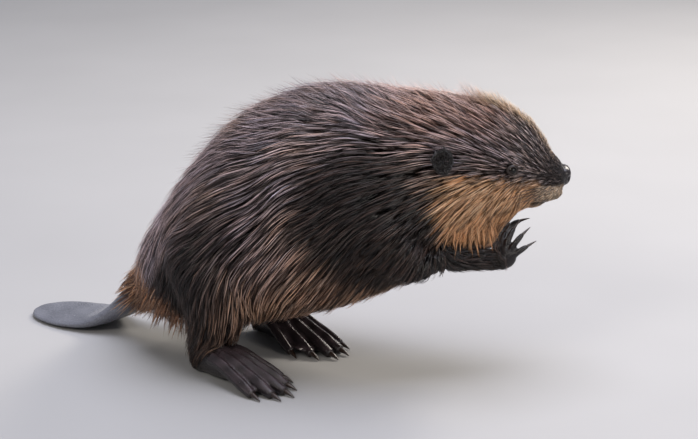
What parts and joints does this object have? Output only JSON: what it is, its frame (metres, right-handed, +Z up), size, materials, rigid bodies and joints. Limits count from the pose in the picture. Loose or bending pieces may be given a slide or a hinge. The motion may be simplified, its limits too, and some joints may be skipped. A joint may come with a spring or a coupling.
{
  "type": "beaver",
  "caption": "Beaver standing on its hind feet and tail, leaning forward with both hands raised and its mouth closed.",
  "frame": {"origin": "middle of the bounding box on the floor, under the belly between the hind feet and the hands", "axes": "+X forward, from the tail to the nose; +Y to the animal's left; +Z up from the floor"},
  "size_m": [0.7418, 0.3998, 0.3861],
  "materials": {
    "fur": "wet clumped guard hair, dark brown, orange-brown on the cheeks and under the rump",
    "bare_skin": "satin, wrinkled dark grey-brown skin",
    "tail_skin": "satin, fine scales, slate grey",
    "nose_skin": "moist, near black",
    "eye": "wet and glossy, near black",
    "claw_horn": "smooth dark horn"
  },
  "bodies": {
    "root": {"rump": "fur", "loins": "fur", "chest": "fur", "neck": "fur", "head": "fur", "lower_jaw": "fur", "nose": "nose_skin", "eye_right": "eye", "ear_right": "bare_skin", "eye_left": "eye", "ear_left": "bare_skin", "tail_root": "fur", "tail": "tail_skin", "thigh_right": "fur", "shank_right": "fur", "hind_foot_right": "bare_skin", "toe_claw_right_1": "claw_horn", "toe_claw_right_2": "claw_horn", "toe_claw_right_3": "claw_horn", "toe_claw_right_4": "claw_horn", "toe_claw_right_5": "claw_horn", "thigh_left": "fur", "shank_left": "fur", "hind_foot_left": "bare_skin", "toe_claw_left_1": "claw_horn", "toe_claw_left_2": "claw_horn", "toe_claw_left_3": "claw_horn", "toe_claw_left_4": "claw_horn", "toe_claw_left_5": "claw_horn", "upper_arm_right": "fur", "forearm_right": "fur", "hand_right": "bare_skin", "finger_claw_right_1": "claw_horn", "finger_claw_right_2": "claw_horn", "finger_claw_right_3": "claw_horn", "finger_claw_right_4": "claw_horn", "finger_claw_right_5": "claw_horn", "upper_arm_left": "fur", "forearm_left": "fur", "hand_left": "bare_skin", "finger_claw_left_1": "claw_horn", "finger_claw_left_2": "claw_horn", "finger_claw_left_3": "claw_horn", "finger_claw_left_4": "claw_horn", "finger_claw_left_5": "claw_horn"}
  },
  "joints": []
}
